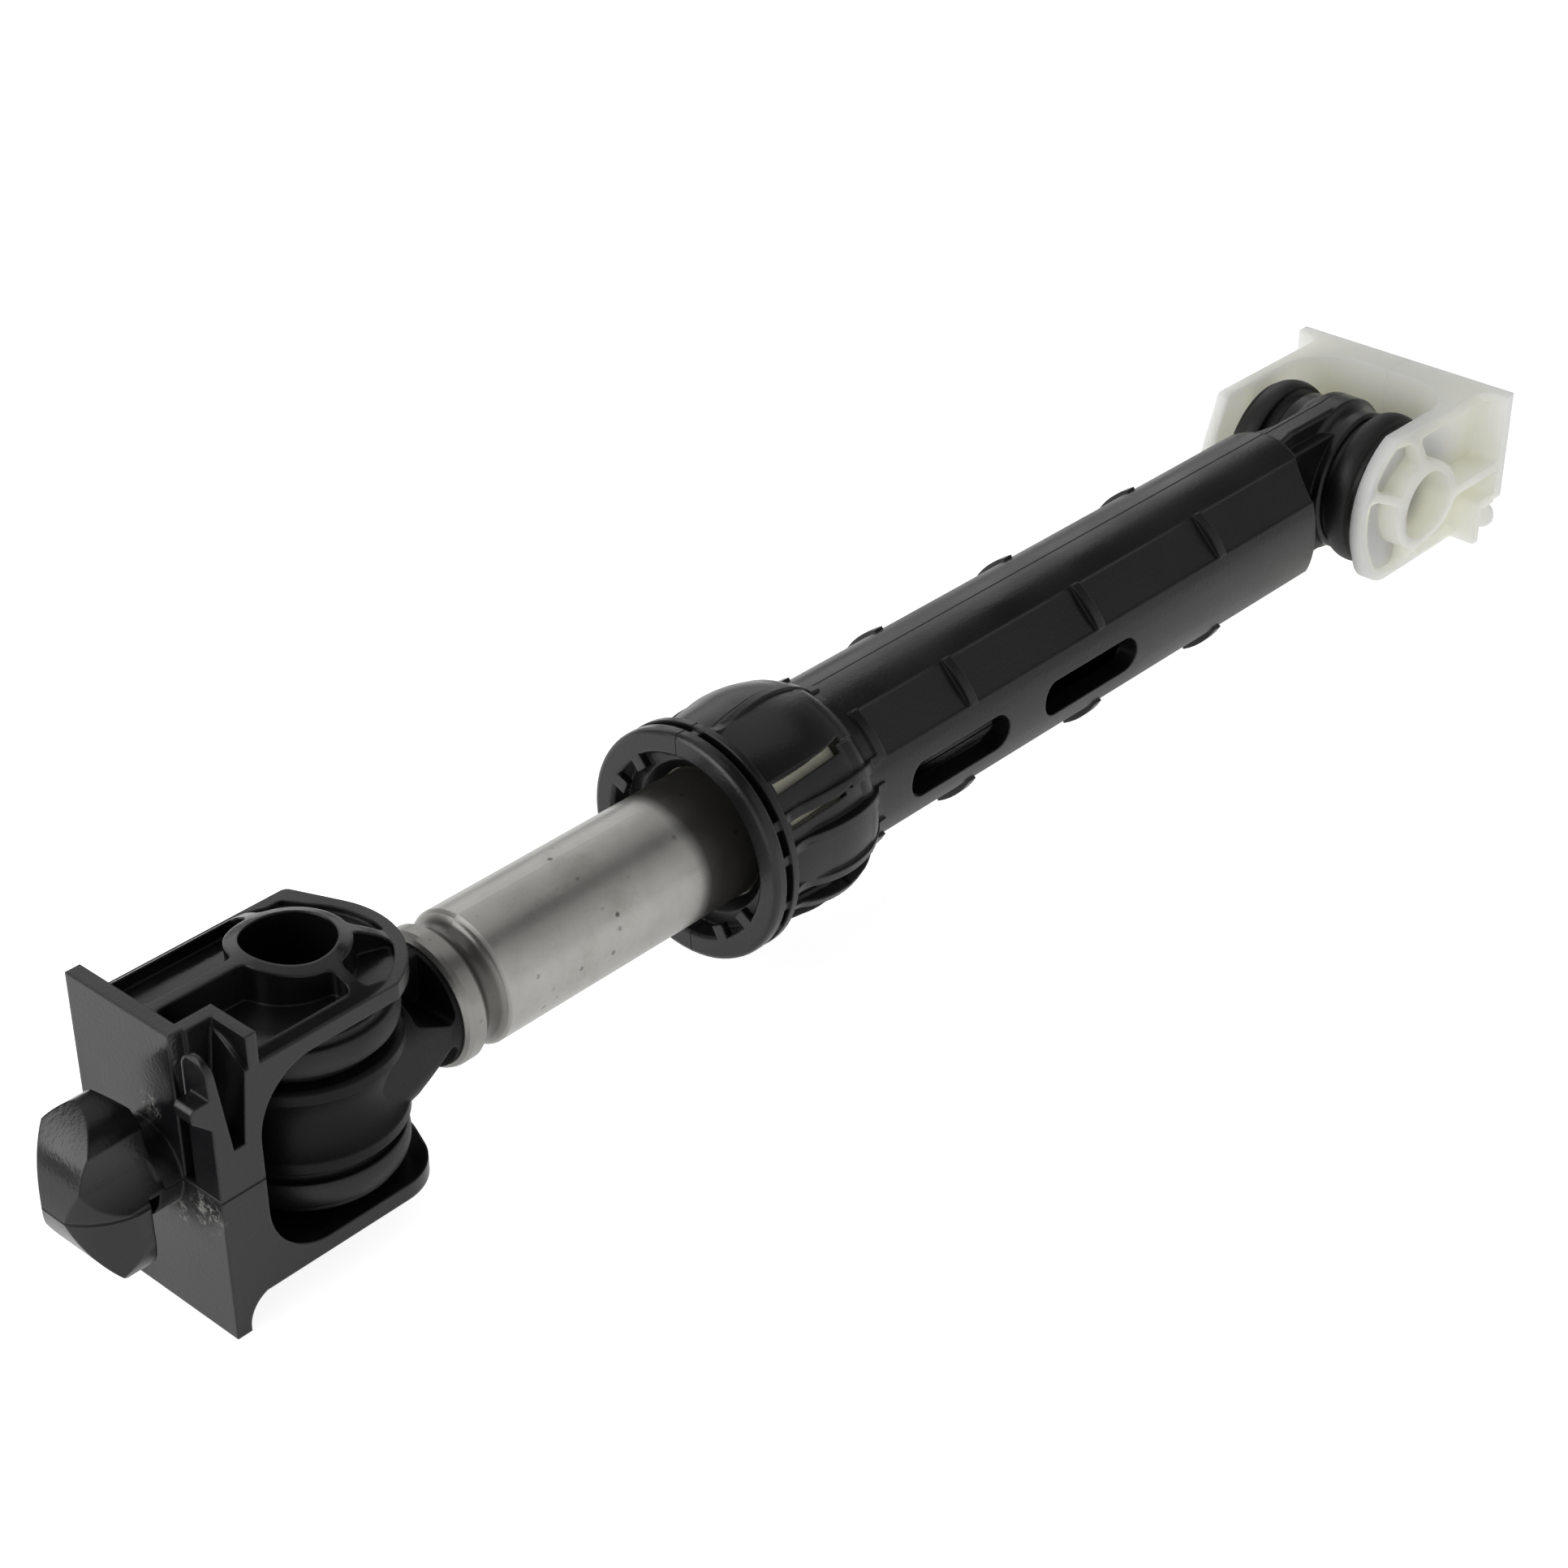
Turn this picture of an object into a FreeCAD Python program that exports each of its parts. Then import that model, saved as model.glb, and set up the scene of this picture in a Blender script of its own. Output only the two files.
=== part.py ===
import FreeCAD, Part
import math
import os

# Friction damper of a washing machine, in mm, +Z up.
# X runs along the damper from the lower base plate to the upper one.
# The origin is the centre of the lower base plate's outer face.

# Driving sizes
TUBE_R = 10.0
TUBE_WALL = 1.0
PIN_TO_PLATE = 23.75
PIN_TO_COLLAR = 71.25
COLLAR_TO_PIN = 162.0
HOUSING_R = 13.7
COLLAR_R = 17.9
BRACKET_HALF_WIDTH = 13.3
BRACKET_HALF_HEIGHT = 21.5

# Fits
BORE_CLEARANCE = 0.2
LINING_CLEARANCE = 0.1
SEAT_CLEARANCE = 0.05
PIVOT_CLEARANCE = 0.1
SIDE_CLEARANCE = 0.3

# Places along the damper
LOWER_PIN_X = PIN_TO_PLATE
COLLAR_X = LOWER_PIN_X + PIN_TO_COLLAR
UPPER_PIN_X = COLLAR_X + COLLAR_TO_PIN

# Eyes and pivots
EYE_R = 13.6
EYE_HALF_WIDTH = 6.6
EYE_WALL = 3.4
EYE_BORE_R = EYE_R - EYE_WALL
TRUNNION_R = 7.8
TRUNNION_CORE_R = 6.2
TRUNNION_REACH = 9.0
ARM_GAP = 14.5
SADDLE_X = -EYE_R - 3.3
SADDLE_R = 9.1
BUSH_FLANGE_R = EYE_BORE_R + 3.1

V = FreeCAD.Vector


def place(s):
    return COLLAR_X + s


def outline_face(points, plane):
    """Face from points; a nested list is an arc through three points or a smooth curve."""
    flat = []
    runs = []
    for item in points:
        if isinstance(item, list):
            runs.append((len(flat), len(flat) + len(item) - 1))
            flat.extend(item)
        else:
            flat.append(item)
    corners = [in_plane(p, plane) for p in flat]
    edges = []
    index = 0
    while index < len(corners):
        run = [r for r in runs if r[0] == index]
        if run:
            through = corners[index:run[0][1] + 1]
            if len(through) == 3:
                edges.append(Part.Arc(*through).toShape())
            else:
                curve = Part.BSplineCurve()
                curve.interpolate(through)
                edges.append(curve.toShape())
            index = run[0][1]
            runs.remove(run[0])
        else:
            following = corners[(index + 1) % len(corners)]
            if corners[index].distanceToPoint(following) > 1e-6:
                edges.append(Part.makeLine(corners[index], following))
            index = index + 1
    return Part.Face(Part.Wire(edges))


def backwards(points):
    """The same outline run in the other direction."""
    return [list(reversed(p)) if isinstance(p, list) else p for p in reversed(points)]


def shifted(points, along, outwards):
    """Outline points moved along the axis and outwards."""
    moved = []
    for p in points:
        if isinstance(p, list):
            moved.append([(a + along, r + outwards) for a, r in p])
        else:
            moved.append((p[0] + along, p[1] + outwards))
    return moved


def in_plane(point, plane):
    a, b = point
    if plane == "xz":
        return V(a, 0, b)
    if plane == "xy":
        return V(a, b, 0)
    return V(0, a, b)


def turned(points, angle=360.0):
    """Turned body about the X axis from (x, radius) points."""
    return outline_face(points, "xz").revolve(V(0, 0, 0), V(1, 0, 0), angle)


def pivot_turned(points):
    """Turned body about the Z axis from (radius, z) points."""
    return outline_face(points, "xz").revolve(V(0, 0, 0), V(0, 0, 1), 360)


def prism(points, plane, low, high):
    """Straight prism of an outline, from low to high along the plane's normal."""
    normals = {"xz": V(0, 1, 0), "xy": V(0, 0, 1), "yz": V(1, 0, 0)}
    normal = normals[plane]
    face = outline_face(points, plane)
    face.translate(normal * low)
    return face.extrude(normal * (high - low))


def block(x0, x1, y0, y1, z0, z1):
    return Part.makeBox(x1 - x0, y1 - y0, z1 - z0, V(x0, y0, z0))


def about_axis(shape, angle):
    """Copy turned about the damper axis; 0 is the -Y side, 90 is the top."""
    copy = shape.copy()
    copy.rotate(V(0, 0, 0), V(1, 0, 0), 90 - angle)
    return copy


def half_turn(shape):
    """Copy turned half round about the damper's axis."""
    copy = shape.copy()
    copy.rotate(V(0, 0, 0), V(1, 0, 0), 180)
    return copy


# Pivot pieces, made about a Z hinge axis at the origin

def bush_half():
    """Rubber bush half on the +Z side: sleeve, neck, flange and an end ring rounded as the saddle."""
    bore = TRUNNION_R + PIVOT_CLEARANCE
    sleeve = EYE_BORE_R - SEAT_CLEARANCE
    neck = EYE_BORE_R + 1.2
    ring = EYE_BORE_R + 2.0
    flange = BUSH_FLANGE_R - 0.4
    neck_z = EYE_HALF_WIDTH + SEAT_CLEARANCE
    flange_z = neck_z + 1.7
    ring_z = flange_z + 3.6
    round_r = SADDLE_R - SIDE_CLEARANCE
    round_x = -SADDLE_X - SADDLE_R
    round_z = ARM_GAP - SADDLE_R
    first = math.acos((ring - round_x) / round_r)
    last = math.radians(85)
    corner = [
        (round_x + round_r * math.cos(a), round_z + round_r * math.sin(a))
        for a in (first, (first + last) / 2, last)
    ]
    points = [
        (bore, 0.1),
        (sleeve, 0.1),
        (sleeve, neck_z),
        (neck, neck_z),
        [(neck, neck_z + 0.7), (neck + 0.25, flange_z - 0.3), (neck + 0.9, flange_z)],
        [(flange, flange_z), (flange + 0.4, (flange_z + ring_z) / 2), (flange, ring_z)],
        (ring, ring_z + 0.3),
        corner,
        (bore, corner[2][1]),
    ]
    return pivot_turned(points)


def lower_eye_ring():
    """Eye ring with two rims and a hollow channel between them."""
    rim = EYE_HALF_WIDTH - 2.0
    points = [
        (EYE_BORE_R, -EYE_HALF_WIDTH),
        (EYE_R - 0.5, -EYE_HALF_WIDTH),
        (EYE_R, -EYE_HALF_WIDTH + 0.5),
        [(EYE_R, -rim), (EYE_R - 1.8, 0), (EYE_R, rim)],
        (EYE_R, EYE_HALF_WIDTH - 0.5),
        (EYE_R - 0.5, EYE_HALF_WIDTH),
        (EYE_BORE_R, EYE_HALF_WIDTH),
    ]
    return pivot_turned(points)


def upper_eye_ring():
    """Eye barrel with one raised crest around its middle."""
    barrel = EYE_R - 1.4
    crest = 2.7
    points = [
        (EYE_BORE_R, -EYE_HALF_WIDTH),
        (barrel - 0.5, -EYE_HALF_WIDTH),
        (barrel, -EYE_HALF_WIDTH + 0.5),
        [(barrel, -crest - 1.6), (barrel + 0.3, -crest - 0.6), (EYE_R - 0.2, -crest + 0.2)],
        (EYE_R, -crest + 0.5),
        (EYE_R, crest - 0.5),
        [(EYE_R - 0.2, crest - 0.2), (barrel + 0.3, crest + 0.6), (barrel, crest + 1.6)],
        (barrel, EYE_HALF_WIDTH - 0.5),
        (barrel - 0.5, EYE_HALF_WIDTH),
        (EYE_BORE_R, EYE_HALF_WIDTH),
    ]
    return pivot_turned(points)


# Plunger tube: steel, rolled groove and rounded lip at the outer end

LIP_S = -51.5
GROOVE_S = -46.0
TUBE_END_S = 32.5
GROOVE_R = TUBE_R - 1.6


def rolled_groove(offset):
    """Outside of the tube at its rolled groove, moved inwards by an offset."""
    r = TUBE_R - offset
    g = GROOVE_R - offset
    return [
        (place(GROOVE_S - 2.4), r),
        [(place(GROOVE_S - 1.9), r - 0.4), (place(GROOVE_S), g), (place(GROOVE_S + 1.9), r - 0.4)],
        (place(GROOVE_S + 2.4), r),
    ]


def plunger_tube():
    bore = TUBE_R - TUBE_WALL
    points = [(place(LIP_S), TUBE_R - 0.8)]
    points.append((place(LIP_S + 0.4), TUBE_R - 0.25))
    points.append((place(LIP_S + 1.1), TUBE_R))
    points.extend(rolled_groove(0.0))
    points.append((place(TUBE_END_S - 0.6), TUBE_R))
    points.append((place(TUBE_END_S), TUBE_R - 0.5))
    points.append((place(TUBE_END_S), bore))
    points.extend(backwards(rolled_groove(TUBE_WALL)))
    points.append((place(LIP_S), bore))
    return turned(points)


# Rod end: lower eye, cored neck and shank

def rounded_section(x, half_y, half_z, corner):
    """Rounded rectangle across the damper's axis, as a wire for a loft."""
    y = half_y - corner
    z = half_z - corner
    slope = corner * math.sin(math.radians(45))
    edges = []
    for sy, sz, first in ((1, 1, "y"), (-1, 1, "z"), (-1, -1, "y"), (1, -1, "z")):
        middle = V(x, sy * (y + slope), sz * (z + slope))
        side = (V(x, sy * half_y, sz * z), middle, V(x, sy * y, sz * half_z))
        if first == "z":
            side = side[::-1]
        edges.append(Part.Arc(*side).toShape())
    outline = []
    for index, corner_edge in enumerate(edges):
        following = edges[(index + 1) % 4]
        outline.append(corner_edge)
        outline.append(Part.makeLine(corner_edge.valueAt(corner_edge.LastParameter),
                                     following.valueAt(following.FirstParameter)))
    return Part.Wire(outline)


def rod_end():
    shank = TUBE_R - TUBE_WALL - SEAT_CLEARANCE
    mouth = place(LIP_S) - LOWER_PIN_X
    shank_end = place(GROOVE_S + 12.0) - LOWER_PIN_X
    shank_body = turned([
        (mouth - 6.0, 0),
        (mouth - 6.0, shank),
        *shifted(rolled_groove(TUBE_WALL), -LOWER_PIN_X, -SEAT_CLEARANCE),
        (shank_end - 1.0, shank),
        (shank_end, shank - 1.0),
        (shank_end, 0),
    ])
    start = EYE_BORE_R + 1.0
    neck_end = mouth - 0.3
    flange = shank - 0.3
    sections = [
        rounded_section(1.0, EYE_R - 2.0, EYE_HALF_WIDTH - 0.1, 1.2),
        rounded_section(neck_end, flange, flange, 0.9 * flange),
    ]
    neck = Part.makeLoft(sections, True, True)
    web = 1.5
    pockets = []
    for hand in (-1, 1):
        for level in (-1, 1):
            outline = [
                (start + 0.4, level * 5.0),
                (neck_end - 0.5, level * 1.0),
                (neck_end - 0.5, level * 14.0),
                (start + 0.4, level * 14.0),
            ]
            edges = sorted((hand * web, hand * 20.0))
            pocket = prism(outline, "xz", edges[0], edges[1])
            across = [e for e in pocket.Edges if abs(e.tangentAt(e.FirstParameter).y) > 0.99]
            inner = [e for e in across if abs(e.CenterOfMass.z) < 9]
            pockets.append(pocket.makeFillet(1.2, inner))
    eye = lower_eye_ring()
    bore = Part.makeCylinder(EYE_BORE_R, 4 * EYE_R, V(0, 0, -2 * EYE_R))
    bush_room = Part.makeCylinder(BUSH_FLANGE_R + SEAT_CLEARANCE, 10, V(0, 0, EYE_HALF_WIDTH))
    body = eye.multiFuse([neck, shank_body]).cut([bore, bush_room, half_turn(bush_room)])
    body = body.cut(pockets[0].multiFuse(pockets[1:]))
    body = body.removeSplitter()
    body.translate(V(LOWER_PIN_X, 0, 0))
    return body


# Housing: caged collar, barrel and upper eye in one moulding

RING_FRONT = -0.8
RING_BACK = 1.2
RING2_FRONT = 2.7
CAGE_FRONT = 4.1
CAGE_END = 26.6
COLLAR_WALL = 3.7
CAVITY_R = COLLAR_R - COLLAR_WALL
GUIDE_FRONT = 2.7
GUIDE_BACK = 4.9
GUIDE_R = TUBE_R + 0.3
CAVITY_END = 20.5
CAGE_WALL = 1.0
RIB_HEIGHT = 2.7
SHOULDER_S = 24.2
SHOULDER_R = HOUSING_R - 1.8
END_WALL_S = 133.0
END_CUT_R = 24.0
RIB_ANGLES = (90, 29, 12, -13, -30, -90, 209, 192, 167, 150)
PANEL_SPANS = ((48.5, 89.0), (91.0, 131.5), (-89.0, -48.5), (228.5, 269.0), (-12.0, 11.0), (168.0, 191.0))
WINDOWS = ((45.0, 2.0, 19.8), (24.0, 1.5, 17.5), (-45.0, 2.0, 19.8), (-24.0, 1.5, 17.5))
WINDOW_FRONT = 6.3
TEETH_ANGLES = (130, 157, -33, -60)
PANEL_ANGLES = (45, 135, 225, 315)
LADDER_S = (28.0, 49.0, 80.3, 112.6)
SLOT_SPANS = ((33.2, 56.2), (64.8, 88.2))
SLOT_WIDTH = 5.9


def cage_profile(lift):
    """Outline of the cage between the rear ring and the barrel, raised by a lift."""
    wall = CAVITY_R + CAGE_WALL
    swell = wall + 0.8 + 0.95 * lift
    foot = HOUSING_R + 1.0 + 0.45 * lift
    return [
        (place(CAGE_FRONT), wall),
        [(place(4.6), wall + 0.1), (place(8.0), wall + 0.4 + 0.6 * lift), (place(12.0), swell - 0.2)],
        [(place(12.0), swell - 0.2), (place(17.0), swell + 0.05 * lift), (place(21.0), swell - 0.7)],
        [(place(21.0), swell - 0.7), (place(23.8), foot), (place(24.9), HOUSING_R + 0.1)],
        (place(CAGE_END), HOUSING_R),
    ]


def collar_core():
    """Rings, cage floor and barrel as one turned body, with the lining cavity and bore."""
    bore = TUBE_R + BORE_CLEARANCE
    groove = CAVITY_R + COLLAR_WALL / 2
    outer = [
        (place(RING_FRONT), CAVITY_R + 0.5),
        (place(RING_FRONT), COLLAR_R - 0.7),
        (place(RING_FRONT + 0.25), COLLAR_R - 0.2),
        (place(RING_FRONT + 0.8), COLLAR_R),
        (place(RING_BACK), COLLAR_R),
        (place(RING_BACK), groove),
        (place(RING2_FRONT), groove),
        (place(RING2_FRONT), COLLAR_R),
        (place(CAGE_FRONT - 0.3), COLLAR_R),
        (place(CAGE_FRONT), COLLAR_R - 0.3),
        *cage_profile(0.0),
        (UPPER_PIN_X - EYE_R, HOUSING_R),
        (UPPER_PIN_X - EYE_R, 0),
        (place(END_WALL_S), 0),
        (place(END_WALL_S), bore),
        (place(SHOULDER_S), bore),
        (place(SHOULDER_S), SHOULDER_R),
        (place(CAVITY_END), CAVITY_R),
        (place(GUIDE_BACK), CAVITY_R),
        (place(GUIDE_BACK), GUIDE_R),
        (place(GUIDE_BACK - 0.8), GUIDE_R),
        (place(GUIDE_FRONT), GUIDE_R + 1.6),
        (place(GUIDE_FRONT), CAVITY_R),
        (place(RING_FRONT + 0.5), CAVITY_R),
    ]
    return turned(outer)


def cage_panel(first, last):
    """Raised smooth panel of the cage between two angles."""
    points = [
        *cage_profile(1.35),
        (place(CAGE_END), HOUSING_R - 1.0),
        (place(SHOULDER_S), SHOULDER_R + 0.7),
        (place(CAVITY_END), CAVITY_R + 0.5),
        (place(CAGE_FRONT), CAVITY_R + 0.5),
    ]
    panel = turned(points, last - first)
    panel.rotate(V(0, 0, 0), V(1, 0, 0), 90 - last)
    return panel


def cage_rib(angle):
    """Proud rib that follows the cage from the front ring onto the barrel."""
    top = CAVITY_R + RIB_HEIGHT
    points = [
        (place(RING_BACK - 0.3), COLLAR_R - 0.35),
        (place(CAGE_FRONT), COLLAR_R - 0.4),
        [(place(CAGE_FRONT + 0.4), COLLAR_R - 0.9), (place(6.6), top - 0.6), (place(9.6), top)],
        [(place(9.6), top), (place(15.6), top + 1.0), (place(21.4), top)],
        [(place(21.4), top), (place(24.2), HOUSING_R + 1.7), (place(25.6), HOUSING_R + 0.5)],
        (place(27.2), HOUSING_R + 0.4),
        (place(27.6), HOUSING_R - 0.8),
        (place(SHOULDER_S), HOUSING_R - 1.0),
        (place(CAVITY_END), CAVITY_R + 0.4),
        (place(RING_BACK - 0.3), CAVITY_R + 0.4),
    ]
    return about_axis(prism(points, "xz", -0.7, 0.7), angle)


def ring_sector(s0, s1, r0, r1, angle, half_angle):
    """Ring piece between two stations and two radii, about a middle angle."""
    sector = turned([(place(s0), r0), (place(s0), r1), (place(s1), r1), (place(s1), r0)], 2 * half_angle)
    sector.rotate(V(0, 0, 0), V(1, 0, 0), 90 - angle - half_angle)
    return sector


def cage_window(width, last, upper, near):
    """Cutter for a window of the cage; its edge beside the smooth panel curves away at the back."""
    half = width / 2
    flare = 0.9 * half
    middle = (WINDOW_FRONT + last) / 2
    hand = 1 if upper == near else -1
    wide = hand * (half + flare)
    return prism([
        (place(WINDOW_FRONT), -hand * half),
        (place(last), -hand * 0.2 * half),
        (place(last), wide),
        [(place(last), wide), (place(middle), hand * 0.8 * half), (place(WINDOW_FRONT), hand * 0.7 * half)],
    ], "xy", CAVITY_R - 0.5, COLLAR_R + 3)


def barrel_slot(first, last, angle):
    """Cutter with round ends for a slot through one wall of the barrel."""
    half = SLOT_WIDTH / 2
    inside = 6.0
    outside = HOUSING_R + 3
    centres = (first + half, last - half)
    middle = block(place(centres[0]), place(centres[1]), -half, half, inside, outside)
    ends = [Part.makeCylinder(half, outside - inside, V(place(s), 0, inside)) for s in centres]
    return about_axis(middle.multiFuse(ends), angle)


def upper_end():
    """Upper eye ring with its crest straps, web and cross rib, about a Z hinge."""
    ring = upper_eye_ring()
    strap_half = 2.3
    spread = 3.4
    reach = END_CUT_R + 2.0
    strap_end = -EYE_R - 7.4
    bend = -EYE_R - 1.9
    strap = prism([
        (strap_end, -spread),
        (bend, -strap_half),
        (0, -strap_half),
        (0, strap_half),
        (bend, strap_half),
        (strap_end, spread),
    ], "xz", EYE_R - 3.2, EYE_R - 0.2)
    web = block(-reach, -4.0, -EYE_R + 3.0, EYE_R - 3.0, -4.7, 4.7)
    rib = block(-reach, -EYE_BORE_R - 1.0, -1.1, 1.1, -EYE_HALF_WIDTH + 0.6, EYE_HALF_WIDTH - 0.6)
    top = EYE_R - 0.2
    long_edges = [e for e in strap.Edges if e.Length > 4 and abs(e.CenterOfMass.y - top) < 0.01]
    strap = strap.makeFillet(0.8, [e for e in long_edges if abs(e.tangentAt(e.FirstParameter).x) > 0.9])
    body = ring.multiFuse([strap, half_turn(strap), web, rib])
    body = body.cut(Part.makeCylinder(EYE_BORE_R, 4 * EYE_R, V(0, 0, -2 * EYE_R)))
    body.rotate(V(0, 0, 0), V(1, 0, 0), 90)
    body.translate(V(UPPER_PIN_X, 0, 0))
    return body


def housing():
    core = collar_core()
    end_cut = Part.makeCylinder(END_CUT_R, 4 * HOUSING_R, V(UPPER_PIN_X, -2 * HOUSING_R, 0), V(0, 1, 0))
    core = core.cut(end_cut)
    added = [cage_panel(first, last) for first, last in PANEL_SPANS]
    added.extend(cage_rib(angle) for angle in RIB_ANGLES)
    core = core.multiFuse(added)

    cuts = []
    for middle, width, last in WINDOWS:
        for angle in (middle, 180 - middle):
            cuts.append(about_axis(cage_window(width, last, middle > 0, angle < 90), angle))
    for angle in PANEL_ANGLES:
        flat = block(place(LADDER_S[0]), place(COLLAR_TO_PIN), -3.85, 3.85, HOUSING_R - 0.75, HOUSING_R + 3)
        cuts.append(about_axis(flat, angle))
    for first, last in SLOT_SPANS:
        for angle in (0, 180):
            cuts.append(barrel_slot(first, last, angle))
    core = core.cut(cuts[0].multiFuse(cuts[1:]))

    ladders = []
    for angle in PANEL_ANGLES:
        for s in LADDER_S:
            ladders.append(ring_sector(s - 0.85, s + 0.85, HOUSING_R - 1.2, HOUSING_R + 0.4, angle, 17.0))
    teeth = []
    for angle in TEETH_ANGLES:
        tooth = block(place(RING_FRONT), place(RING_FRONT + 1.2), -1.0, 1.0, CAVITY_R - 1.8, CAVITY_R + 1.0)
        teeth.append(about_axis(tooth, angle))
    body = core.multiFuse(ladders + teeth + [upper_end()])
    return body.removeSplitter()


# Friction lining: foam sleeve in the collar's cavity

def friction_lining():
    front = place(GUIDE_BACK) + SEAT_CLEARANCE
    outer = CAVITY_R - SEAT_CLEARANCE
    inner = TUBE_R + LINING_CLEARANCE
    back = place(SHOULDER_S - SEAT_CLEARANCE)
    return turned([
        (front, inner),
        (front, outer),
        (place(CAVITY_END) - SEAT_CLEARANCE, outer),
        (back, SHOULDER_R - SEAT_CLEARANCE),
        (back, inner),
    ])


# Brackets, made about a Z hinge axis at the origin with the base plate on the -X side

PLATE_THICKNESS = 2.25
ENVELOPE_R = BRACKET_HALF_HEIGHT - 0.2
ARM_END_R = 14.6
ARM_CORNER_X = ARM_END_R - 4.3
ARM_TIGHT_R = 1.2
ARM_ROUND_R = 8.0
RIM = 1.7
RIM_LAND = 0.2
POCKET_CORNER_R = 1.1
POCKET_FLOOR = 1.4
PEG_RAMP = 3.2
PLATE_OUT = -PIN_TO_PLATE
PLATE_IN = PLATE_OUT + PLATE_THICKNESS
PLATE_MID = PLATE_OUT + PLATE_THICKNESS / 2


def arm_plan(inset, back, corner_r):
    """Plan of an arm: straight sides, one wide round end corner and one tighter corner."""
    w = BRACKET_HALF_WIDTH - inset
    r = ARM_END_R - inset
    corner = ARM_CORNER_X - 1.3 * inset
    tight = max(corner_r - inset, 0.3)
    reach = math.hypot(corner, w)
    touch = math.atan2(w, corner) - math.acos(min(1.0, r / reach))
    start = -math.asin(min(1.0, w / r))
    middle = (start + touch) / 2
    bend = (touch, (touch + math.pi / 2) / 2, math.pi / 2)
    centre_x = (r - tight - (w - tight) * math.sin(touch)) / math.cos(touch)
    centre_y = w - tight
    return outline_face([
        [(r * math.cos(a), r * math.sin(a)) for a in (start, middle, touch)],
        [(centre_x + tight * math.cos(a), centre_y + tight * math.sin(a)) for a in bend],
        (back, w),
        (back, -w),
    ], "xy")


def arms_block(corners):
    """Clevis body: two arms, the second turned half round, under a crowned envelope, less the saddle."""
    first = arm_plan(0.0, PLATE_MID, corners[0]).extrude(V(0, 0, ENVELOPE_R))
    second = arm_plan(0.0, PLATE_MID, corners[1]).extrude(V(0, 0, ENVELOPE_R))
    solid = first.fuse(half_turn(second))
    diagonal = ENVELOPE_R * math.sin(math.radians(45))
    crown = turned([(-40, 0), (-40, ENVELOPE_R), [(0, ENVELOPE_R), (diagonal, diagonal), (ENVELOPE_R, 0)]])
    rim_z = math.sqrt(ENVELOPE_R ** 2 - BRACKET_HALF_WIDTH ** 2) + RIM_LAND
    land = block(-40, 20, -20, 20, -rim_z, rim_z)
    solid = solid.common(crown.fuse(land))
    saddle = block(SADDLE_X, 40, -30, 30, -ARM_GAP, ARM_GAP)
    along = [e for e in saddle.Edges if abs(e.tangentAt(e.FirstParameter).y) > 0.99]
    inner = [e for e in along if abs(e.CenterOfMass.x - SADDLE_X) < 0.01]
    return solid.cut(saddle.makeFillet(SADDLE_R, inner))


def arm_pockets(corner_r, chamber):
    """Coring of the +Z arm's outer face around the boss and its ribs."""
    floor = ARM_GAP + POCKET_FLOOR
    keep = [Part.Face(Part.Wire(Part.makeCircle(TRUNNION_R + 0.2)))]
    keep.append(Part.makePlane(20 - PLATE_IN, 1.9, V(PLATE_IN - 20, -0.95, 0)))
    for angle in (-85, -22, 83):
        rib = Part.makePlane(20, 1.6, V(TRUNNION_CORE_R + 0.5, -0.8, 0))
        rib.rotate(V(0, 0, 0), V(0, 0, 1), angle)
        keep.append(rib)
    if chamber is not None:
        keep.append(chamber)
    plan = arm_plan(RIM, PLATE_IN, corner_r).cut(keep)
    cores = []
    for face in plan.Faces:
        inner = face.makeOffset2D(-POCKET_CORNER_R)
        rounded = inner.makeOffset2D(POCKET_CORNER_R)
        rounded.translate(V(0, 0, floor))
        cores.extend(f.extrude(V(0, 0, 10)) for f in rounded.Faces)
    return cores[0].multiFuse(cores[1:])


def peg():
    """Twist-in peg: round neck and a head with two opposite quarters scooped out."""
    back = PLATE_OUT - 3.1
    tip = PLATE_OUT - 14.9
    half = 7.5
    tall = 11.6
    side = prism([
        (back, -tall + 1.6),
        (back, tall - 1.6),
        [(back, tall - 1.6), (back - 1.6, tall - 0.4), (back - 4.0, tall)],
        [(back - 4.2, tall), (tip + 2.6, 0.56 * tall), (tip, 0.0)],
        [(tip, 0.0), (tip + 2.6, -0.56 * tall), (back - 4.2, -tall)],
        [(back - 4.0, -tall), (back - 1.6, -tall + 0.4), (back, -tall + 1.6)],
    ], "xz", -half - 1, half + 1)
    plan = prism([
        (back + 1, -half),
        (back + 1, half),
        [(back - 4.0, half), (tip + 3.2, 0.76 * half), (tip, 2.2)],
        (tip, -2.2),
        [(tip, -2.2), (tip + 3.2, -0.76 * half), (back - 4.0, -half)],
    ], "xy", -tall - 1, tall + 1)
    quarter = [
        [(-half + 0.1, 0.0), (-4.7, 3.2), (-3.4, 8.0)],
        [(-3.4, 8.0), (0.2, 10.8), (3.6, tall - 0.2)],
        [(3.6, tall - 0.2), (6.5, 8.7), (half - 0.1, 4.0)],
    ]
    turn = [[(-y, -z) for y, z in run] for run in quarter]
    across = prism(quarter + turn, "yz", tip - 1, back + 1)
    head = side.common(plan).common(across)
    ramp = prism([
        (back + 1, -half - 1),
        (back - PEG_RAMP, -half - 1),
        (back, 1.0),
        (back + 1, 1.0),
    ], "xy", -tall - 1, 0.5)
    head = head.cut([ramp, half_turn(ramp)])
    neck = Part.makeCylinder(6.0, PLATE_MID - back + 0.5, V(back - 0.5, 0, 0), V(1, 0, 0))
    return head.fuse(neck)


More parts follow.
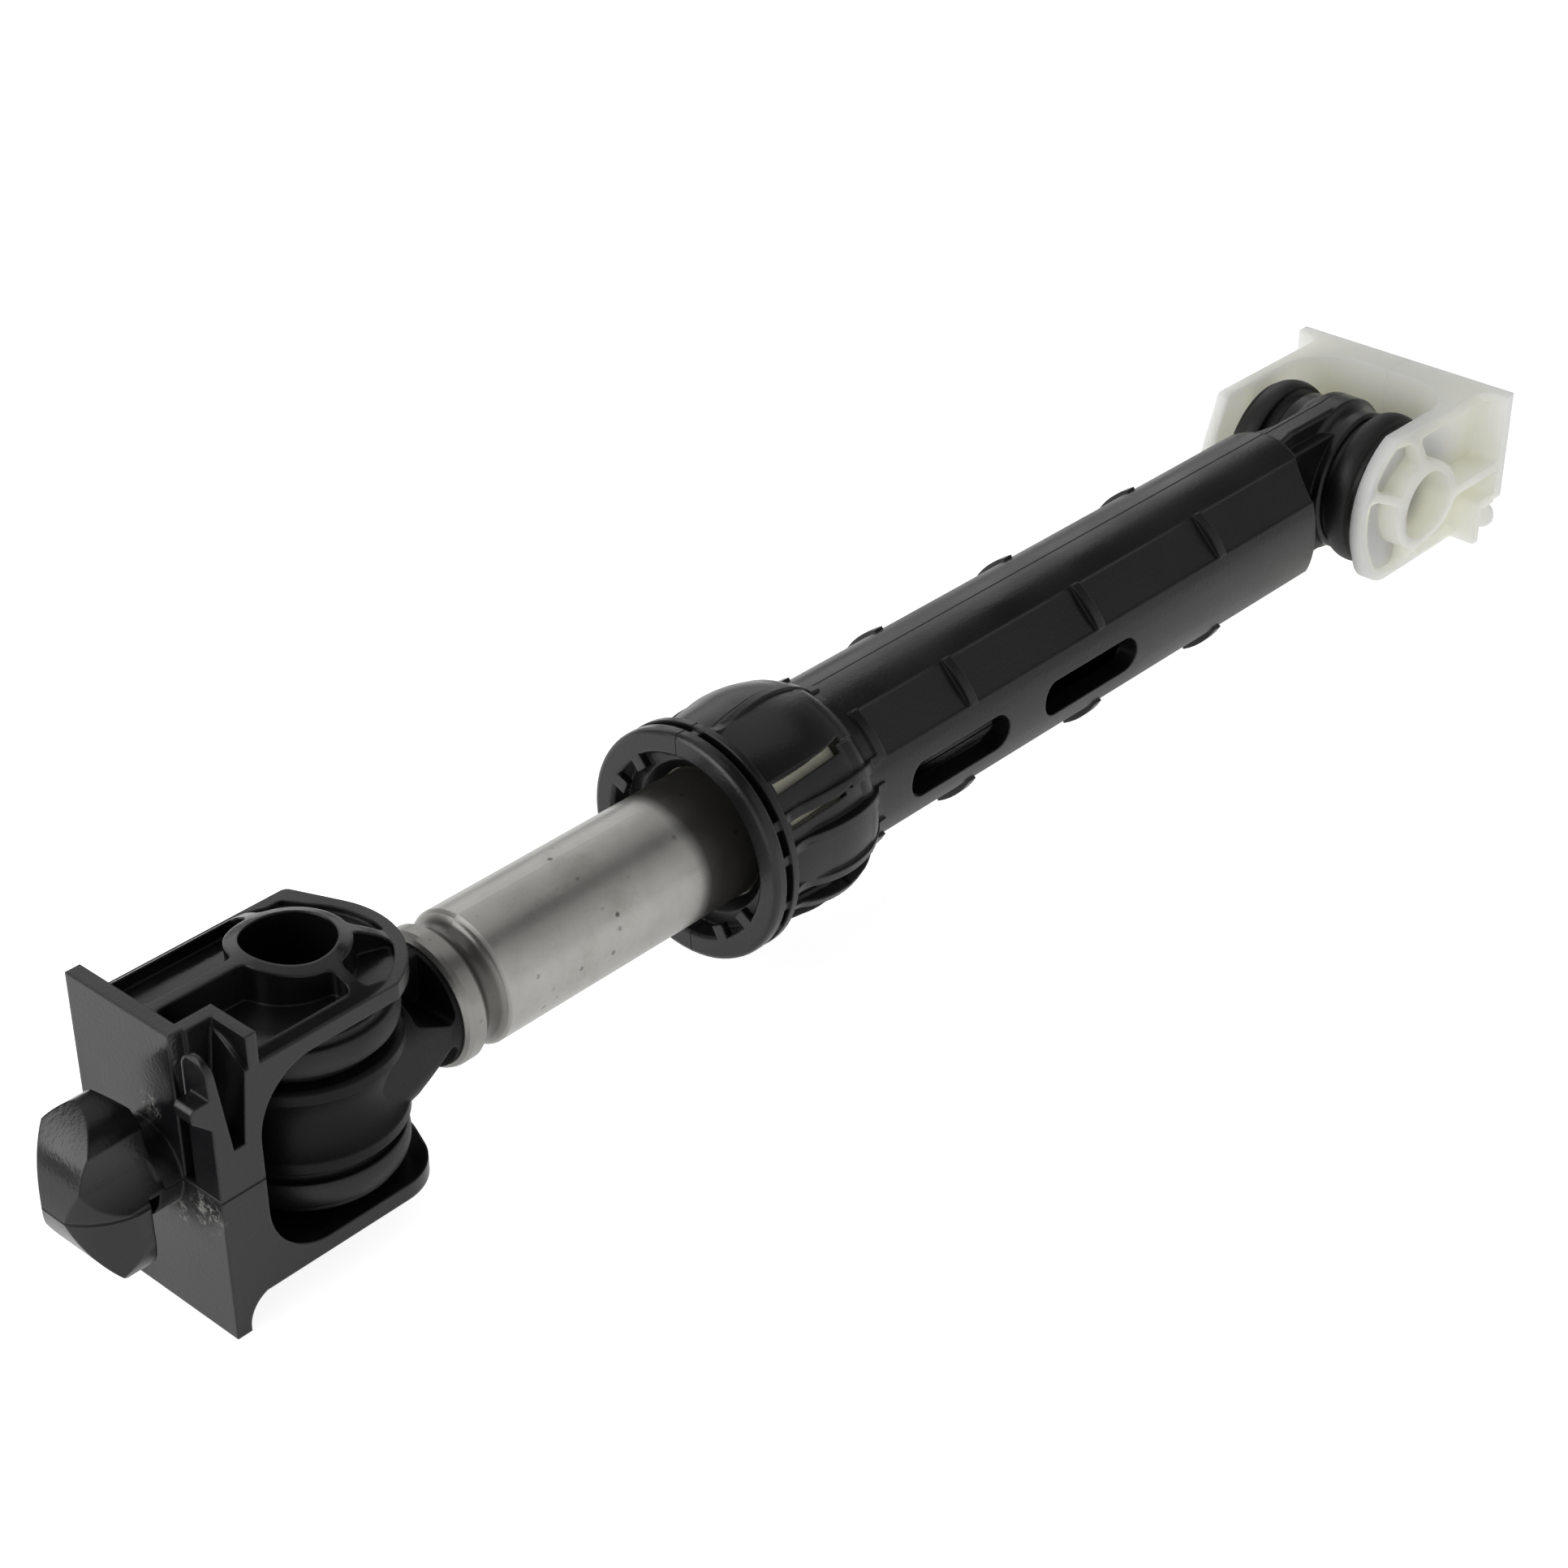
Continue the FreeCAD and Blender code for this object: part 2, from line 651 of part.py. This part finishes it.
def bracket(catch, corners):
    """Clevis bracket with a twist-in peg and a spring catch.

    catch is the Y side of the spring tongue on the +Z arm; corners are the end radii of the arms.
    """
    w = BRACKET_HALF_WIDTH
    h = BRACKET_HALF_HEIGHT
    plate = block(PLATE_OUT, PLATE_IN, -w, w, -h, h)

    # Chamber walls behind the spring tongue
    wall_near = 7.0
    wall_far = 4.95
    wall_long = block(PLATE_MID, -16.0, -wall_near, -wall_far, ARM_GAP, h)
    wall_cross = block(-17.6, -16.0, -w, -wall_far, ARM_GAP, h)
    walls = wall_long.fuse(wall_cross)
    chamber_zone = Part.makePlane(30, w - wall_far + 0.4, V(-16.6 - 30, -w - 1, 0))
    if catch > 0:
        walls = walls.mirror(V(0, 0, 0), V(0, 1, 0))
        chamber_zone = chamber_zone.mirror(V(0, 0, 0), V(0, 1, 0))

    body = arms_block(corners)
    body = body.cut(arm_pockets(corners[0], chamber_zone))
    body = body.cut(half_turn(arm_pockets(corners[1], None)))

    # Hollow root fillets between the arm rims and the plate
    roots = []
    edge_z = math.sqrt(ENVELOPE_R ** 2 - w ** 2)
    radius = h - edge_z - 0.6
    for level in (-1, 1):
        low = level * (edge_z - 1.0)
        high = level * (h - 0.6)
        slope = radius * math.sin(math.radians(45))
        end_x = PLATE_IN + radius
        outline = [
            (PLATE_MID, low),
            (PLATE_MID, high),
            [(PLATE_IN, high), (end_x - slope, high - level * slope), (end_x, high - level * radius)],
            (end_x, low),
        ]
        for y0, y1 in ((-w, -w + RIM), (w - RIM, w)):
            roots.append(prism(outline, "xz", y0, y1))

    # Stub trunnions that carry the eye's bushes
    stub = Part.makeCylinder(TRUNNION_R, TRUNNION_REACH + 1.0, V(0, 0, ARM_GAP - TRUNNION_REACH))
    body = body.fuse(plate).fuse(walls)
    body = body.multiFuse([peg(), stub, half_turn(stub)] + roots)

    # Core holes of the trunnions, blind, open at the outside
    depth = ARM_GAP - TRUNNION_REACH + 1.6
    core = Part.makeCylinder(TRUNNION_CORE_R, 40, V(0, 0, depth))
    body = body.cut(core.fuse(half_turn(core)))

    # Chamber, cut-out of the plate and the spring tongue with its nub
    chamber = prism([
        (PLATE_IN - 0.1, 6.6),
        (-19.3, 6.6),
        (-17.6, h + 1),
        (PLATE_IN - 0.1, h + 1),
    ], "xz", -w - 1, -wall_near)
    opening = block(PLATE_OUT - 0.1, PLATE_IN, -w - 1, -wall_near + 0.5, 0.6, h + 1)
    tongue = prism([
        (PLATE_OUT, 0.0),
        (PLATE_OUT, h - 1.2),
        (PLATE_OUT + 0.25, h - 0.6),
        (PLATE_OUT + 0.75, h - 0.6),
        (PLATE_IN + 0.45, 6.6),
        (PLATE_IN + 0.45, 0.0),
    ], "xz", -w, -8.6)
    leaf_r = (w - 8.6) / 2
    leaf_z = h - 0.6 - leaf_r
    crown = block(PLATE_OUT - 1, PLATE_IN + 1, -w - 1, -8.0, leaf_z, h + 1)
    leaf = Part.makeCylinder(leaf_r, PLATE_THICKNESS + 4, V(PLATE_OUT - 2, -w + leaf_r, leaf_z), V(1, 0, 0))
    tongue = tongue.cut(crown.cut(leaf))
    nub = prism([
        (PLATE_OUT + 0.5, 10.6),
        (PLATE_OUT - 2.75, 13.6),
        (PLATE_OUT - 2.75, 15.0),
        (PLATE_OUT - 2.3, 15.5),
        (PLATE_OUT + 0.5, 15.5),
    ], "xz", -w, -10.1)
    latch = tongue.fuse(nub)
    if catch > 0:
        chamber = chamber.mirror(V(0, 0, 0), V(0, 1, 0))
        opening = opening.mirror(V(0, 0, 0), V(0, 1, 0))
        latch = latch.mirror(V(0, 0, 0), V(0, 1, 0))
    body = body.cut(chamber.fuse(opening)).fuse(latch)
    return body.removeSplitter()


# Build and place the pieces

def at_lower(shape):
    shape.translate(V(LOWER_PIN_X, 0, 0))
    return shape


def at_upper(shape):
    """Turn a piece from the Z hinge frame to the upper hinge, base plate on the +X side."""
    shape.rotate(V(0, 0, 0), V(0, 0, 1), 180)
    shape.rotate(V(0, 0, 0), V(1, 0, 0), 90)
    shape.translate(V(UPPER_PIN_X, 0, 0))
    return shape


def mirrored(shape):
    return shape.mirror(V(0, 0, 0), V(0, 0, 1))


pieces = {
    "housing": housing(),
    "friction_lining": friction_lining(),
    "plunger_tube": plunger_tube(),
    "rod_end": rod_end(),
    "lower_bush_top": at_lower(bush_half()),
    "lower_bush_bottom": at_lower(mirrored(bush_half())),
    "upper_bush_near": at_upper(bush_half()),
    "upper_bush_far": at_upper(mirrored(bush_half())),
    "lower_bracket": at_lower(bracket(-1, (ARM_TIGHT_R, ARM_ROUND_R))),
    "upper_bracket": at_upper(bracket(1, (ARM_ROUND_R, ARM_TIGHT_R))),
}

os.makedirs("parts", exist_ok=True)
for name, shape in pieces.items():
    solid = shape
    if len(shape.Solids) == 1:
        solid = shape.Solids[0]
    box = solid.BoundBox
    print(name, "solids", len(shape.Solids), "valid", solid.isValid(), "volume", round(solid.Volume, 1),
          [round(v, 2) for v in (box.XMin, box.XMax, box.YMin, box.YMax, box.ZMin, box.ZMax)])
    solid.exportStep("parts/" + name + ".step")
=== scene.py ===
from math import cos, radians, sin

import bpy
from mathutils import Matrix, Vector


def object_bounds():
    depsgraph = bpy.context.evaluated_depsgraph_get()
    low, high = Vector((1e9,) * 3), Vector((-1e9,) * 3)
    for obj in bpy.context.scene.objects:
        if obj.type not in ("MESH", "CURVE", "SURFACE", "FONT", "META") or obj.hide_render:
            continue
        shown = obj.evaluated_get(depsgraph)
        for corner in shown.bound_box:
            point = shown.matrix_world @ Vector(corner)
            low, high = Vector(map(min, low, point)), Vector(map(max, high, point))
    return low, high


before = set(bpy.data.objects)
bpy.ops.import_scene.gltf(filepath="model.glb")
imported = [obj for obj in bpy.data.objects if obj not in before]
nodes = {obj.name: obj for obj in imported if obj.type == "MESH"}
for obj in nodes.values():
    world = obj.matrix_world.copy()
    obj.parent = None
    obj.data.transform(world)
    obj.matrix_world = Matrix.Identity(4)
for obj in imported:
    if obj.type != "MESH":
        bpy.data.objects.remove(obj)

size_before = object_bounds()

# Housing
# One injection moulding with the caged collar, the slotted barrel and the upper eye.
# Black polypropylene, ejected from a two-part mould that leaves a parting line along its top.

MM = 0.001
EDGE_RADIUS = 0.5 * MM
GLOSS_PATCH = 17.0 * MM
FINE_SEAM = 0.35 * MM
SEAM_TURN = radians(4.0)
TOP_SEAM = (0.0, cos(SEAM_TURN), -sin(SEAM_TURN))

# Coarser than the real grain, which is too fine to show
SKIN_GRAIN = 0.6 * MM
SKIN_DEPTH = 0.2 * MM


def colour(code):
    """Linear colour from an sRGB hex code."""
    values = [int(code[i:i + 2], 16) / 255 for i in (0, 2, 4)]
    linear = [v / 12.92 if v <= 0.04045 else ((v + 0.055) / 1.055) ** 2.4 for v in values]
    return (*linear, 1.0)


def add(tree, kind, settings=None, links=None):
    """Adds a shader node, sets its sockets or properties and links its inputs."""
    node = tree.nodes.new(kind)
    for name, value in (settings or {}).items():
        if isinstance(name, int) or name in node.inputs:
            node.inputs[name].default_value = value
        else:
            setattr(node, name, value)
    for name, source in (links or {}).items():
        tree.links.new(source, node.inputs[name])
    return node


def material(name):
    """New material: its node tree, its principled shader and its Object coordinates."""
    made = bpy.data.materials.new(name)
    made.use_nodes = True
    tree = made.node_tree
    shader = tree.nodes["Principled BSDF"]
    place = add(tree, "ShaderNodeTexCoord").outputs["Object"]
    return made, tree, shader, place


def moulded(name, base, gloss, rough, grain, seam, seam_width):
    """Moulded plastic or rubber: uneven gloss, fine grain, soft edges and a dull parting line.

    The roughness wanders between gloss and rough.
    The seam is a direction across the parting plane, which passes through the damper's axis.
    """
    made, tree, shader, place = material(name)
    round_edge = add(tree, "ShaderNodeBevel", {"samples": 4, "Radius": EDGE_RADIUS})
    offset = add(tree, "ShaderNodeVectorMath", {"operation": "DOT_PRODUCT", 1: seam},
                 {"Vector": place})
    away = add(tree, "ShaderNodeMath", {"operation": "ABSOLUTE"}, {0: offset.outputs["Value"]})
    wall = add(tree, "ShaderNodeMapRange", {"From Max": seam_width / 2},
               {"Value": away.outputs["Value"]})
    groove = add(tree, "ShaderNodeBump", {"Strength": 0.9, "Distance": seam_width / 2},
                 {"Height": wall.outputs["Result"], "Normal": round_edge.outputs["Normal"]})
    skin = add(tree, "ShaderNodeTexNoise", {"Scale": 1 / SKIN_GRAIN, "Detail": 2.0},
               {"Vector": place})
    bump = add(tree, "ShaderNodeBump", {"Strength": grain, "Distance": SKIN_DEPTH},
               {"Height": skin.outputs["Fac"], "Normal": groove.outputs["Normal"]})
    cloud = add(tree, "ShaderNodeTexNoise", {"Scale": 1 / GLOSS_PATCH, "Detail": 3.0},
                {"Vector": place})
    spread = add(tree, "ShaderNodeMapRange",
                 {"From Min": 0.3, "From Max": 0.7, "To Min": gloss, "To Max": rough},
                 {"Value": cloud.outputs["Fac"]})
    dull = add(tree, "ShaderNodeMapRange", {"To Min": 0.9},
               {"Value": wall.outputs["Result"], "To Max": spread.outputs["Result"]})
    shader.inputs["Base Color"].default_value = colour(base)
    tree.links.new(dull.outputs["Result"], shader.inputs["Roughness"])
    tree.links.new(bump.outputs["Normal"], shader.inputs["Normal"])
    return made


def dress(name, made):
    """Gives a node its material."""
    mesh = nodes[name].data
    mesh.materials.clear()
    mesh.materials.append(made)


# Satin skin from the mould, so the light table shows as broad soft highlights
dress("housing", moulded("black polypropylene", "161618", 0.2, 0.36, 0.12, TOP_SEAM, FINE_SEAM))

# Friction lining
# Pale open foam soaked with grease, cut as a strip and wrapped round inside the collar.
# It shows only as thin strips through the windows of the cage.

# Coarser than the real cells, which are too fine to show
FOAM_CELL = 1.1 * MM

# Sockets of a Mix node that mixes colours
COLOUR_A = 6
COLOUR_B = 7
COLOUR_OUT = 2

# Speckled cream with a damp gloss from the grease
foam, tree, shader, place = material("greased polyurethane foam")
cells = add(tree, "ShaderNodeTexNoise", {"Scale": 1 / FOAM_CELL, "Detail": 4.0}, {"Vector": place})
tint = add(tree, "ShaderNodeMix",
           {"data_type": "RGBA", COLOUR_A: colour("E0DDBC"), COLOUR_B: colour("FFFDEE")},
           {"Factor": cells.outputs["Fac"]})
tree.links.new(tint.outputs[COLOUR_OUT], shader.inputs["Base Color"])
shader.inputs["Roughness"].default_value = 0.4
dress("friction_lining", foam)

# Plunger tube
# Drawn steel tube, zinc plated, with a groove rolled in near its outer end.
# The groove holds the rod end, and the other end slides in the greased lining.

CLOUD_PATCH = 11.0 * MM
STAIN_PATCH = 22.0 * MM
PIT_SPACING = 2.4 * MM
GROOVE_X = 49.0 * MM
GROOVE_HALF = 2.4 * MM
# Edge, fade and wander of the painted reflection of the collar on the tube
REFLECTION_EDGE_X = 88.5 * MM
REFLECTION_FADE = 2.5 * MM
REFLECTION_WANDER = 3.0 * MM

# Coarser than the real lines of the drawing, which are too fine to show
DRAW_LINE_LENGTH = 33.0 * MM
DRAW_LINE_WIDTH = 0.67 * MM
DRAW_LINE_DEPTH = 0.1 * MM

zinc, tree, shader, place = material("zinc plated steel")

# Dull grey plating with cloudy patches and faint brown stains
cloud = add(tree, "ShaderNodeTexNoise",
            {"Scale": 1 / CLOUD_PATCH, "Detail": 6.0, "Roughness": 0.65}, {"Vector": place})
tone = add(tree, "ShaderNodeMix",
           {"data_type": "RGBA", COLOUR_A: colour("93928E"), COLOUR_B: colour("D2D1CC")},
           {"Factor": cloud.outputs["Fac"]})
stain = add(tree, "ShaderNodeTexNoise",
            {"Scale": 1 / STAIN_PATCH, "Detail": 8.0, "Roughness": 0.7}, {"Vector": place})
patch = add(tree, "ShaderNodeMapRange", {"From Min": 0.58, "From Max": 0.7, "To Max": 0.4},
            {"Value": stain.outputs["Fac"]})
aged = add(tree, "ShaderNodeMix", {"data_type": "RGBA", COLOUR_B: colour("6E6455")},
           {"Factor": patch.outputs["Result"], COLOUR_A: tone.outputs[COLOUR_OUT]})

# Small dark pits, only in the paler patches of the plating
pit = add(tree, "ShaderNodeTexVoronoi", {"Scale": 1 / PIT_SPACING}, {"Vector": place})
spot = add(tree, "ShaderNodeMapRange",
           {"From Min": 0.1, "From Max": 0.2, "To Min": 0.8, "To Max": 0.0},
           {"Value": pit.outputs["Distance"]})
rare = add(tree, "ShaderNodeMapRange", {"From Min": 0.5, "From Max": 0.6},
           {"Value": cloud.outputs["Fac"]})
pitted = add(tree, "ShaderNodeMath", {"operation": "MULTIPLY"},
             {0: spot.outputs["Result"], 1: rare.outputs["Result"]})
metal = add(tree, "ShaderNodeMix", {"data_type": "RGBA", COLOUR_B: colour("3B3733")},
            {"Factor": pitted.outputs["Value"], COLOUR_A: aged.outputs[COLOUR_OUT]})

# Painted reflection of the collar's black front ring: dark, with a ragged edge, on the length that
# slides through the lining
along = add(tree, "ShaderNodeSeparateXYZ", None, {"Vector": place})
wander = add(tree, "ShaderNodeMath", {"operation": "MULTIPLY", 1: REFLECTION_WANDER},
             {0: cloud.outputs["Fac"]})
ragged = add(tree, "ShaderNodeMath", {"operation": "ADD"},
             {0: along.outputs["X"], 1: wander.outputs["Value"]})
painted_reflection = add(tree, "ShaderNodeMapRange",
           {"From Min": REFLECTION_EDGE_X, "From Max": REFLECTION_EDGE_X + REFLECTION_FADE, "To Max": 0.9},
           {"Value": ragged.outputs["Value"]})

# Painted shade, dark in the rolled groove, and the lip beyond it a little darker
off_groove = add(tree, "ShaderNodeMath", {"operation": "SUBTRACT", 1: GROOVE_X},
                 {0: along.outputs["X"]})
from_groove = add(tree, "ShaderNodeMath", {"operation": "ABSOLUTE"},
                  {0: off_groove.outputs["Value"]})
groove_shade = add(tree, "ShaderNodeMapRange",
            {"From Min": 0.5 * GROOVE_HALF, "From Max": GROOVE_HALF, "To Min": 0.85, "To Max": 0.0},
            {"Value": from_groove.outputs["Value"]})
lip = add(tree, "ShaderNodeMapRange",
          {"From Min": GROOVE_X - GROOVE_HALF, "From Max": GROOVE_X, "To Min": 0.35, "To Max": 0.0},
          {"Value": along.outputs["X"]})
groove_shade_and_lip = add(tree, "ShaderNodeMath", {"operation": "MAXIMUM"},
              {0: groove_shade.outputs["Result"], 1: lip.outputs["Result"]})
# Painted reflection and painted shade together darken the plating
reflection_and_shade = add(tree, "ShaderNodeMath", {"operation": "MAXIMUM"},
           {0: painted_reflection.outputs["Result"], 1: groove_shade_and_lip.outputs["Value"]})
shade_painted_plating = add(tree, "ShaderNodeMix", {"data_type": "RGBA", COLOUR_B: colour("4E4C48")},
             {"Factor": reflection_and_shade.outputs["Value"], COLOUR_A: metal.outputs[COLOUR_OUT]})
tree.links.new(shade_painted_plating.outputs[COLOUR_OUT], shader.inputs["Base Color"])

# Satin from the plating, with faint lines along the tube from its drawing
spread = add(tree, "ShaderNodeMapRange", {"To Min": 0.2, "To Max": 0.4},
             {"Value": cloud.outputs["Fac"]})
tree.links.new(spread.outputs["Result"], shader.inputs["Roughness"])
draw_scale = (1 / DRAW_LINE_LENGTH, 1 / DRAW_LINE_WIDTH, 1 / DRAW_LINE_WIDTH)
stretch = add(tree, "ShaderNodeVectorMath", {"operation": "MULTIPLY", 1: draw_scale},
              {"Vector": place})
drawn = add(tree, "ShaderNodeTexNoise", {"Scale": 1.0, "Detail": 2.0},
            {"Vector": stretch.outputs["Vector"]})
relief = add(tree, "ShaderNodeBump", {"Strength": 0.08, "Distance": DRAW_LINE_DEPTH},
             {"Height": drawn.outputs["Fac"]})
tree.links.new(relief.outputs["Normal"], shader.inputs["Normal"])
shader.inputs["Metallic"].default_value = 0.75
dress("plunger_tube", zinc)

# Rod end
# Black moulded eye with a cored neck, in glass filled polyamide.
# Its shank is held in the tube by the rolled groove.

UPRIGHT_SEAM = (0.0, 1.0, 0.0)

# The glass fibres leave a duller black than the housing's
rod_end_plastic = moulded("black filled polyamide", "0C0C0D", 0.34, 0.5, 0.12, UPRIGHT_SEAM, FINE_SEAM)
shader = rod_end_plastic.node_tree.nodes["Principled BSDF"]
shader.inputs["Specular IOR Level"].default_value = 0.2
dress("rod_end", rod_end_plastic)

# Bushes
# Black rubber halves with a flange each, pushed into both eyes from the two sides.
# They turn on the brackets' trunnions and let the damper tilt a little.

# Matt, with the mould's fine grain
rubber = moulded("black rubber", "101011", 0.42, 0.6, 0.2, UPRIGHT_SEAM, FINE_SEAM)
for name in ("lower_bush_top", "lower_bush_bottom", "upper_bush_near", "upper_bush_far"):
    dress(name, rubber)

# Lower bracket
# Black moulded clevis with its base plate, twist-in peg and spring catch.
# Polyamide; its mould parts level with the damper's axis, which leaves a wide line on the peg.

BRACKET_BLACK = "111113"
LEVEL_SEAM = (0.0, 0.0, 1.0)
WIDE_SEAM = 0.6 * MM
SCRATCH = 1.2 * MM

# Middle and reach of each scuffed spot on the plate's outer face
SCUFFS = (
    ((0.0, -10.0 * MM, -3.0 * MM), 3.5 * MM),
    ((0.0, -5.0 * MM, -5.5 * MM), 2.0 * MM),
    ((0.0, -1.0 * MM, 8.5 * MM), 2.5 * MM),
)

# Uneven gloss, from nearly polished to satin, with pale scuffs round the peg's foot
bracket_plastic = moulded("black polyamide", BRACKET_BLACK, 0.12, 0.36, 0.1, LEVEL_SEAM, WIDE_SEAM)
tree = bracket_plastic.node_tree
shader = tree.nodes["Principled BSDF"]
place = add(tree, "ShaderNodeTexCoord").outputs["Object"]
scratches = add(tree, "ShaderNodeTexNoise",
                {"Scale": 1 / SCRATCH, "Detail": 5.0, "Roughness": 0.7, "Distortion": 1.0},
                {"Vector": place})
torn = add(tree, "ShaderNodeMapRange", {"From Min": 0.5, "From Max": 0.62, "To Max": 0.6},
           {"Value": scratches.outputs["Fac"]})
scuffed = None
for middle, reach in SCUFFS:
    gap = add(tree, "ShaderNodeVectorMath", {"operation": "DISTANCE", 1: middle}, {"Vector": place})
    near = add(tree, "ShaderNodeMapRange",
               {"From Min": 0.4 * reach, "From Max": reach, "To Min": 1.0, "To Max": 0.0},
               {"Value": gap.outputs["Value"]})
    here = near.outputs["Result"]
    if scuffed is not None:
        both = add(tree, "ShaderNodeMath", {"operation": "MAXIMUM"}, {0: here, 1: scuffed})
        here = both.outputs["Value"]
    scuffed = here
pale = add(tree, "ShaderNodeMath", {"operation": "MULTIPLY"}, {0: torn.outputs["Result"], 1: scuffed})
worn = add(tree, "ShaderNodeMix",
           {"data_type": "RGBA", COLOUR_A: colour(BRACKET_BLACK), COLOUR_B: colour("C4C4BE")},
           {"Factor": pale.outputs["Value"]})
tree.links.new(worn.outputs[COLOUR_OUT], shader.inputs["Base Color"])
dress("lower_bracket", bracket_plastic)

# Upper bracket
# The same clevis moulded in natural polyamide, with its catch on the other side.
# It is held to the upper eye by its two trunnions.

GLOW_DEPTH = 12.0 * MM

# Creamy white and a little translucent, so thin walls glow and hollows turn yellowish
white = moulded("natural polyamide", "FDFDE9", 0.34, 0.5, 0.1, UPRIGHT_SEAM, FINE_SEAM)
shader = white.node_tree.nodes["Principled BSDF"]
shader.inputs["Subsurface Weight"].default_value = 1.0
shader.inputs["Subsurface Radius"].default_value = (1.0, 1.0, 0.85)
shader.inputs["Subsurface Scale"].default_value = GLOW_DEPTH
dress("upper_bracket", white)

# Floor, light and camera
# White light table in a tent: bright floor and sides, dim overhead, hardly any shadow.
# The camera looks down along the damper from the lower bracket's end.

FLOOR_GAP = 0.2 * MM
FLOOR_SIZE = 6.0
FLOOR_MIDDLE_X = 0.1
FLOOR_GLOW_LIT = 0.47
FLOOR_GLOW_SEEN = 0.84
WHITE = (1.0, 1.0, 1.0, 1.0)

floor_place = (FLOOR_MIDDLE_X, 0.0, size_before[0][2] - FLOOR_GAP)
bpy.ops.mesh.primitive_plane_add(size=FLOOR_SIZE, location=floor_place)
floor = bpy.context.object
floor_paint, tree, shader, place = material("white studio floor")
shader.inputs["Base Color"].default_value = (0.9, 0.9, 0.9, 1.0)
shader.inputs["Roughness"].default_value = 0.9
shader.inputs["Emission Color"].default_value = WHITE
ray = add(tree, "ShaderNodeLightPath")
glow = add(tree, "ShaderNodeMapRange", {"To Min": FLOOR_GLOW_LIT, "To Max": FLOOR_GLOW_SEEN},
           {"Value": ray.outputs["Is Camera Ray"]})
tree.links.new(glow.outputs["Result"], shader.inputs["Emission Strength"])
floor.data.materials.append(floor_paint)

# The tent is white to the camera, and lights the damper less from above, from behind and from the right
world = bpy.data.worlds.new("studio")
bpy.context.scene.world = world
world.use_nodes = True
tree = world.node_tree
tree.nodes.clear()
ray = add(tree, "ShaderNodeLightPath")
way = add(tree, "ShaderNodeTexCoord").outputs["Generated"]
parts = add(tree, "ShaderNodeSeparateXYZ", None, {"Vector": way})
rise = add(tree, "ShaderNodeMapRange",
           {"From Min": 0.0, "From Max": 0.75, "To Min": 1.0, "To Max": 0.12},
           {"Value": parts.outputs["Z"]})
far_side = add(tree, "ShaderNodeMapRange",
               {"From Min": -0.1, "From Max": 0.7, "To Min": 1.0, "To Max": 0.5},
               {"Value": parts.outputs["Y"]})
right_side = add(tree, "ShaderNodeMapRange",
                 {"From Min": 0.1, "From Max": 0.7, "To Min": 1.0, "To Max": 0.5},
                 {"Value": parts.outputs["X"]})
sides = add(tree, "ShaderNodeMath", {"operation": "MULTIPLY"},
            {0: far_side.outputs["Result"], 1: right_side.outputs["Result"]})
level = add(tree, "ShaderNodeMath", {"operation": "MULTIPLY"},
            {0: rise.outputs["Result"], 1: sides.outputs["Value"]})
light = add(tree, "ShaderNodeBackground", {"Color": WHITE}, {"Strength": level.outputs["Value"]})
seen = add(tree, "ShaderNodeBackground", {"Color": WHITE, "Strength": 1.0})
mix = add(tree, "ShaderNodeMixShader", None,
          {0: ray.outputs["Is Camera Ray"], 1: light.outputs[0], 2: seen.outputs[0]})
add(tree, "ShaderNodeOutputWorld", None, {"Surface": mix.outputs[0]})


def turned_to(position, target):
    """Placement at a position with the front turned to a target and the top upwards."""
    turn = (Vector(target) - Vector(position)).to_track_quat("-Z", "Y")
    return Matrix.Translation(position) @ turn.to_matrix().to_4x4()


def softbox(name, power, width, height, position, target):
    """Rectangular area light, in watts and metres."""
    lamp = bpy.data.lights.new(name, "AREA")
    lamp.shape = "RECTANGLE"
    lamp.energy = power
    lamp.size = width
    lamp.size_y = height
    holder = bpy.data.objects.new(name, lamp)
    bpy.context.collection.objects.link(holder)
    holder.matrix_world = turned_to(position, target)


softbox("overhead", 1.6, 1.2, 0.8, (0.2, 0.25, 0.9), (0.13, 0.0, 0.0))
softbox("left", 3.2, 0.6, 0.6, (-0.6, 0.3, 0.4), (0.1, 0.0, 0.0))
softbox("right", 0.25, 0.6, 0.6, (0.5, -0.6, 0.35), (0.15, 0.0, 0.0))
softbox("behind", 1.4, 0.9, 0.6, (0.65, 0.7, 0.45), (0.2, 0.0, 0.0))

CAMERA_PLACE = (-168.0 * MM, -255.95 * MM, 238.07 * MM)
CAMERA_TARGET = (116.17 * MM, 0.69 * MM, 0.0)
SENSOR_WIDTH = 36.0
LENS = 70.73

camera_data = bpy.data.cameras.new("camera")
camera_data.sensor_width = SENSOR_WIDTH
camera_data.lens = LENS
camera_data.clip_start = 0.01
camera = bpy.data.objects.new("camera", camera_data)
bpy.context.collection.objects.link(camera)
camera.matrix_world = turned_to(CAMERA_PLACE, CAMERA_TARGET)
bpy.context.scene.camera = camera
bpy.context.scene.view_settings.view_transform = "Standard"
